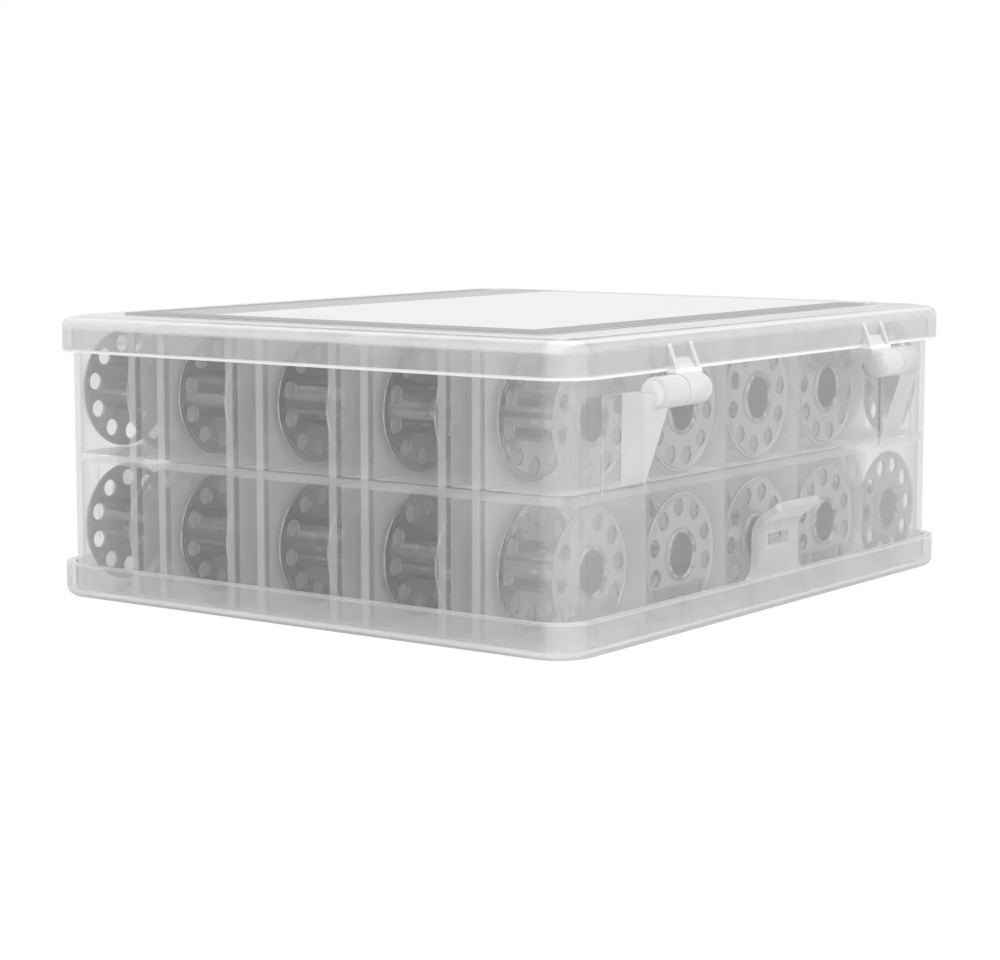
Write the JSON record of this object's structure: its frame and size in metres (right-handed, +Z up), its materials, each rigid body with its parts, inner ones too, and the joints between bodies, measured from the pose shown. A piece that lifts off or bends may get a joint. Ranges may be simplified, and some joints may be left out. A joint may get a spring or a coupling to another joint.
{
  "type": "thread spool storage box",
  "caption": "Two-sided clear box with hinged snap lids and a grid of compartments, each holding a metal bobbin for sewing thread.",
  "frame": {"origin": "middle of the footprint, on the face that the box stands on", "axes": "+Z up, through the upper lid; +Y along the hinge pins; +X towards the upper lid's hinges"},
  "size_m": [0.1182, 0.1238, 0.0489],
  "materials": {
    "clear_plastic": "clear moulded polypropylene with a slight frost",
    "bobbin_steel": "bright drawn and stamped steel sheet",
    "card": "matt white card"
  },
  "bodies": {
    "tray": {"tray": "clear_plastic"},
    "top_lid": {"top_lid": "clear_plastic", "label_card": "card"},
    "bottom_lid": {"bottom_lid": "clear_plastic"},
    "bobbin_top_a1": {"bobbin_top_a1": "bobbin_steel"},
    "bobbin_top_a2": {"bobbin_top_a2": "bobbin_steel"},
    "bobbin_top_a3": {"bobbin_top_a3": "bobbin_steel"},
    "bobbin_top_a4": {"bobbin_top_a4": "bobbin_steel"},
    "bobbin_top_a5": {"bobbin_top_a5": "bobbin_steel"},
    "bobbin_top_b1": {"bobbin_top_b1": "bobbin_steel"},
    "bobbin_top_b2": {"bobbin_top_b2": "bobbin_steel"},
    "bobbin_top_b3": {"bobbin_top_b3": "bobbin_steel"},
    "bobbin_top_b4": {"bobbin_top_b4": "bobbin_steel"},
    "bobbin_top_b5": {"bobbin_top_b5": "bobbin_steel"},
    "bobbin_top_c1": {"bobbin_top_c1": "bobbin_steel"},
    "bobbin_top_c2": {"bobbin_top_c2": "bobbin_steel"},
    "bobbin_top_c3": {"bobbin_top_c3": "bobbin_steel"},
    "bobbin_top_c4": {"bobbin_top_c4": "bobbin_steel"},
    "bobbin_top_c5": {"bobbin_top_c5": "bobbin_steel"},
    "bobbin_top_d1": {"bobbin_top_d1": "bobbin_steel"},
    "bobbin_top_d2": {"bobbin_top_d2": "bobbin_steel"},
    "bobbin_top_d3": {"bobbin_top_d3": "bobbin_steel"},
    "bobbin_top_d4": {"bobbin_top_d4": "bobbin_steel"},
    "bobbin_top_d5": {"bobbin_top_d5": "bobbin_steel"},
    "bobbin_top_e1": {"bobbin_top_e1": "bobbin_steel"},
    "bobbin_top_e2": {"bobbin_top_e2": "bobbin_steel"},
    "bobbin_top_e3": {"bobbin_top_e3": "bobbin_steel"},
    "bobbin_top_e4": {"bobbin_top_e4": "bobbin_steel"},
    "bobbin_top_e5": {"bobbin_top_e5": "bobbin_steel"},
    "bobbin_bottom_a1": {"bobbin_bottom_a1": "bobbin_steel"},
    "bobbin_bottom_a2": {"bobbin_bottom_a2": "bobbin_steel"},
    "bobbin_bottom_a3": {"bobbin_bottom_a3": "bobbin_steel"},
    "bobbin_bottom_a4": {"bobbin_bottom_a4": "bobbin_steel"},
    "bobbin_bottom_a5": {"bobbin_bottom_a5": "bobbin_steel"},
    "bobbin_bottom_b1": {"bobbin_bottom_b1": "bobbin_steel"},
    "bobbin_bottom_b2": {"bobbin_bottom_b2": "bobbin_steel"},
    "bobbin_bottom_b3": {"bobbin_bottom_b3": "bobbin_steel"},
    "bobbin_bottom_b4": {"bobbin_bottom_b4": "bobbin_steel"},
    "bobbin_bottom_b5": {"bobbin_bottom_b5": "bobbin_steel"},
    "bobbin_bottom_c1": {"bobbin_bottom_c1": "bobbin_steel"},
    "bobbin_bottom_c2": {"bobbin_bottom_c2": "bobbin_steel"},
    "bobbin_bottom_c3": {"bobbin_bottom_c3": "bobbin_steel"},
    "bobbin_bottom_c4": {"bobbin_bottom_c4": "bobbin_steel"},
    "bobbin_bottom_c5": {"bobbin_bottom_c5": "bobbin_steel"},
    "bobbin_bottom_d1": {"bobbin_bottom_d1": "bobbin_steel"},
    "bobbin_bottom_d2": {"bobbin_bottom_d2": "bobbin_steel"},
    "bobbin_bottom_d3": {"bobbin_bottom_d3": "bobbin_steel"},
    "bobbin_bottom_d4": {"bobbin_bottom_d4": "bobbin_steel"},
    "bobbin_bottom_d5": {"bobbin_bottom_d5": "bobbin_steel"},
    "bobbin_bottom_e1": {"bobbin_bottom_e1": "bobbin_steel"},
    "bobbin_bottom_e2": {"bobbin_bottom_e2": "bobbin_steel"},
    "bobbin_bottom_e3": {"bobbin_bottom_e3": "bobbin_steel"},
    "bobbin_bottom_e4": {"bobbin_bottom_e4": "bobbin_steel"},
    "bobbin_bottom_e5": {"bobbin_bottom_e5": "bobbin_steel"}
  },
  "joints": [
    {"name": "lid_top_hinge", "type": "hinge", "parent": "tray", "child": "top_lid", "pos_m": [0.0566, 0, 0.0396], "axis": [0, 1, 0], "range_deg": [0, 180]},
    {"name": "lid_bottom_hinge", "type": "hinge", "parent": "tray", "child": "bottom_lid", "pos_m": [-0.0566, 0, 0.0089], "axis": [0, 1, 0], "range_deg": [0, 180]},
    {"name": "turn_top_a1", "type": "hinge", "parent": "tray", "child": "bobbin_top_a1", "pos_m": [-0.0445, -0.04736, 0.0355], "axis": [1, 0, 0], "continuous": true},
    {"name": "turn_top_a2", "type": "hinge", "parent": "tray", "child": "bobbin_top_a2", "pos_m": [-0.0431, -0.02368, 0.0355], "axis": [1, 0, 0], "continuous": true},
    {"name": "turn_top_a3", "type": "hinge", "parent": "tray", "child": "bobbin_top_a3", "pos_m": [-0.0431, 0, 0.0355], "axis": [1, 0, 0], "continuous": true},
    {"name": "turn_top_a4", "type": "hinge", "parent": "tray", "child": "bobbin_top_a4", "pos_m": [-0.0431, 0.02368, 0.0355], "axis": [1, 0, 0], "continuous": true},
    {"name": "turn_top_a5", "type": "hinge", "parent": "tray", "child": "bobbin_top_a5", "pos_m": [-0.0431, 0.04736, 0.0355], "axis": [1, 0, 0], "continuous": true},
    {"name": "turn_top_b1", "type": "hinge", "parent": "tray", "child": "bobbin_top_b1", "pos_m": [-0.0224, -0.04736, 0.0355], "axis": [1, 0, 0], "continuous": true},
    {"name": "turn_top_b2", "type": "hinge", "parent": "tray", "child": "bobbin_top_b2", "pos_m": [-0.021, -0.02368, 0.0355], "axis": [1, 0, 0], "continuous": true},
    {"name": "turn_top_b3", "type": "hinge", "parent": "tray", "child": "bobbin_top_b3", "pos_m": [-0.021, 0, 0.0355], "axis": [1, 0, 0], "continuous": true},
    {"name": "turn_top_b4", "type": "hinge", "parent": "tray", "child": "bobbin_top_b4", "pos_m": [-0.021, 0.02368, 0.0355], "axis": [1, 0, 0], "continuous": true},
    {"name": "turn_top_b5", "type": "hinge", "parent": "tray", "child": "bobbin_top_b5", "pos_m": [-0.021, 0.04736, 0.0355], "axis": [1, 0, 0], "continuous": true},
    {"name": "turn_top_c1", "type": "hinge", "parent": "tray", "child": "bobbin_top_c1", "pos_m": [-0.0007, -0.04736, 0.0355], "axis": [1, 0, 0], "continuous": true},
    {"name": "turn_top_c2", "type": "hinge", "parent": "tray", "child": "bobbin_top_c2", "pos_m": [0.0007, -0.02368, 0.0355], "axis": [1, 0, 0], "continuous": true},
    {"name": "turn_top_c3", "type": "hinge", "parent": "tray", "child": "bobbin_top_c3", "pos_m": [0.0007, 0, 0.0355], "axis": [1, 0, 0], "continuous": true},
    {"name": "turn_top_c4", "type": "hinge", "parent": "tray", "child": "bobbin_top_c4", "pos_m": [0.0007, 0.02368, 0.0355], "axis": [1, 0, 0], "continuous": true},
    {"name": "turn_top_c5", "type": "hinge", "parent": "tray", "child": "bobbin_top_c5", "pos_m": [0.0007, 0.04736, 0.0355], "axis": [1, 0, 0], "continuous": true},
    {"name": "turn_top_d1", "type": "hinge", "parent": "tray", "child": "bobbin_top_d1", "pos_m": [0.021, -0.04736, 0.0355], "axis": [1, 0, 0], "continuous": true},
    {"name": "turn_top_d2", "type": "hinge", "parent": "tray", "child": "bobbin_top_d2", "pos_m": [0.0224, -0.02368, 0.0355], "axis": [1, 0, 0], "continuous": true},
    {"name": "turn_top_d3", "type": "hinge", "parent": "tray", "child": "bobbin_top_d3", "pos_m": [0.0224, 0, 0.0355], "axis": [1, 0, 0], "continuous": true},
    {"name": "turn_top_d4", "type": "hinge", "parent": "tray", "child": "bobbin_top_d4", "pos_m": [0.0224, 0.02368, 0.0355], "axis": [1, 0, 0], "continuous": true},
    {"name": "turn_top_d5", "type": "hinge", "parent": "tray", "child": "bobbin_top_d5", "pos_m": [0.0224, 0.04736, 0.0355], "axis": [1, 0, 0], "continuous": true},
    {"name": "turn_top_e1", "type": "hinge", "parent": "tray", "child": "bobbin_top_e1", "pos_m": [0.0431, -0.04736, 0.0355], "axis": [1, 0, 0], "continuous": true},
    {"name": "turn_top_e2", "type": "hinge", "parent": "tray", "child": "bobbin_top_e2", "pos_m": [0.0445, -0.02368, 0.0355], "axis": [1, 0, 0], "continuous": true},
    {"name": "turn_top_e3", "type": "hinge", "parent": "tray", "child": "bobbin_top_e3", "pos_m": [0.0445, 0, 0.0355], "axis": [1, 0, 0], "continuous": true},
    {"name": "turn_top_e4", "type": "hinge", "parent": "tray", "child": "bobbin_top_e4", "pos_m": [0.0445, 0.02368, 0.0355], "axis": [1, 0, 0], "continuous": true},
    {"name": "turn_top_e5", "type": "hinge", "parent": "tray", "child": "bobbin_top_e5", "pos_m": [0.0445, 0.04736, 0.0355], "axis": [1, 0, 0], "continuous": true},
    {"name": "turn_bottom_a1", "type": "hinge", "parent": "tray", "child": "bobbin_bottom_a1", "pos_m": [-0.0445, -0.04736, 0.01195], "axis": [1, 0, 0], "continuous": true},
    {"name": "turn_bottom_a2", "type": "hinge", "parent": "tray", "child": "bobbin_bottom_a2", "pos_m": [-0.0431, -0.02368, 0.01195], "axis": [1, 0, 0], "continuous": true},
    {"name": "turn_bottom_a3", "type": "hinge", "parent": "tray", "child": "bobbin_bottom_a3", "pos_m": [-0.0431, 0, 0.01195], "axis": [1, 0, 0], "continuous": true},
    {"name": "turn_bottom_a4", "type": "hinge", "parent": "tray", "child": "bobbin_bottom_a4", "pos_m": [-0.0431, 0.02368, 0.01195], "axis": [1, 0, 0], "continuous": true},
    {"name": "turn_bottom_a5", "type": "hinge", "parent": "tray", "child": "bobbin_bottom_a5", "pos_m": [-0.0431, 0.04736, 0.01195], "axis": [1, 0, 0], "continuous": true},
    {"name": "turn_bottom_b1", "type": "hinge", "parent": "tray", "child": "bobbin_bottom_b1", "pos_m": [-0.0224, -0.04736, 0.01195], "axis": [1, 0, 0], "continuous": true},
    {"name": "turn_bottom_b2", "type": "hinge", "parent": "tray", "child": "bobbin_bottom_b2", "pos_m": [-0.021, -0.02368, 0.01195], "axis": [1, 0, 0], "continuous": true},
    {"name": "turn_bottom_b3", "type": "hinge", "parent": "tray", "child": "bobbin_bottom_b3", "pos_m": [-0.021, 0, 0.01195], "axis": [1, 0, 0], "continuous": true},
    {"name": "turn_bottom_b4", "type": "hinge", "parent": "tray", "child": "bobbin_bottom_b4", "pos_m": [-0.021, 0.02368, 0.01195], "axis": [1, 0, 0], "continuous": true},
    {"name": "turn_bottom_b5", "type": "hinge", "parent": "tray", "child": "bobbin_bottom_b5", "pos_m": [-0.021, 0.04736, 0.01195], "axis": [1, 0, 0], "continuous": true},
    {"name": "turn_bottom_c1", "type": "hinge", "parent": "tray", "child": "bobbin_bottom_c1", "pos_m": [-0.0007, -0.04736, 0.01195], "axis": [1, 0, 0], "continuous": true},
    {"name": "turn_bottom_c2", "type": "hinge", "parent": "tray", "child": "bobbin_bottom_c2", "pos_m": [0.0007, -0.02368, 0.01195], "axis": [1, 0, 0], "continuous": true},
    {"name": "turn_bottom_c3", "type": "hinge", "parent": "tray", "child": "bobbin_bottom_c3", "pos_m": [0.0007, 0, 0.01195], "axis": [1, 0, 0], "continuous": true},
    {"name": "turn_bottom_c4", "type": "hinge", "parent": "tray", "child": "bobbin_bottom_c4", "pos_m": [0.0007, 0.02368, 0.01195], "axis": [1, 0, 0], "continuous": true},
    {"name": "turn_bottom_c5", "type": "hinge", "parent": "tray", "child": "bobbin_bottom_c5", "pos_m": [0.0007, 0.04736, 0.01195], "axis": [1, 0, 0], "continuous": true},
    {"name": "turn_bottom_d1", "type": "hinge", "parent": "tray", "child": "bobbin_bottom_d1", "pos_m": [0.021, -0.04736, 0.01195], "axis": [1, 0, 0], "continuous": true},
    {"name": "turn_bottom_d2", "type": "hinge", "parent": "tray", "child": "bobbin_bottom_d2", "pos_m": [0.0224, -0.02368, 0.01195], "axis": [1, 0, 0], "continuous": true},
    {"name": "turn_bottom_d3", "type": "hinge", "parent": "tray", "child": "bobbin_bottom_d3", "pos_m": [0.0224, 0, 0.01195], "axis": [1, 0, 0], "continuous": true},
    {"name": "turn_bottom_d4", "type": "hinge", "parent": "tray", "child": "bobbin_bottom_d4", "pos_m": [0.0224, 0.02368, 0.01195], "axis": [1, 0, 0], "continuous": true},
    {"name": "turn_bottom_d5", "type": "hinge", "parent": "tray", "child": "bobbin_bottom_d5", "pos_m": [0.0224, 0.04736, 0.01195], "axis": [1, 0, 0], "continuous": true},
    {"name": "turn_bottom_e1", "type": "hinge", "parent": "tray", "child": "bobbin_bottom_e1", "pos_m": [0.0431, -0.04736, 0.01195], "axis": [1, 0, 0], "continuous": true},
    {"name": "turn_bottom_e2", "type": "hinge", "parent": "tray", "child": "bobbin_bottom_e2", "pos_m": [0.0445, -0.02368, 0.01195], "axis": [1, 0, 0], "continuous": true},
    {"name": "turn_bottom_e3", "type": "hinge", "parent": "tray", "child": "bobbin_bottom_e3", "pos_m": [0.0445, 0, 0.01195], "axis": [1, 0, 0], "continuous": true},
    {"name": "turn_bottom_e4", "type": "hinge", "parent": "tray", "child": "bobbin_bottom_e4", "pos_m": [0.0445, 0.02368, 0.01195], "axis": [1, 0, 0], "continuous": true},
    {"name": "turn_bottom_e5", "type": "hinge", "parent": "tray", "child": "bobbin_bottom_e5", "pos_m": [0.0445, 0.04736, 0.01195], "axis": [1, 0, 0], "continuous": true}
  ]
}
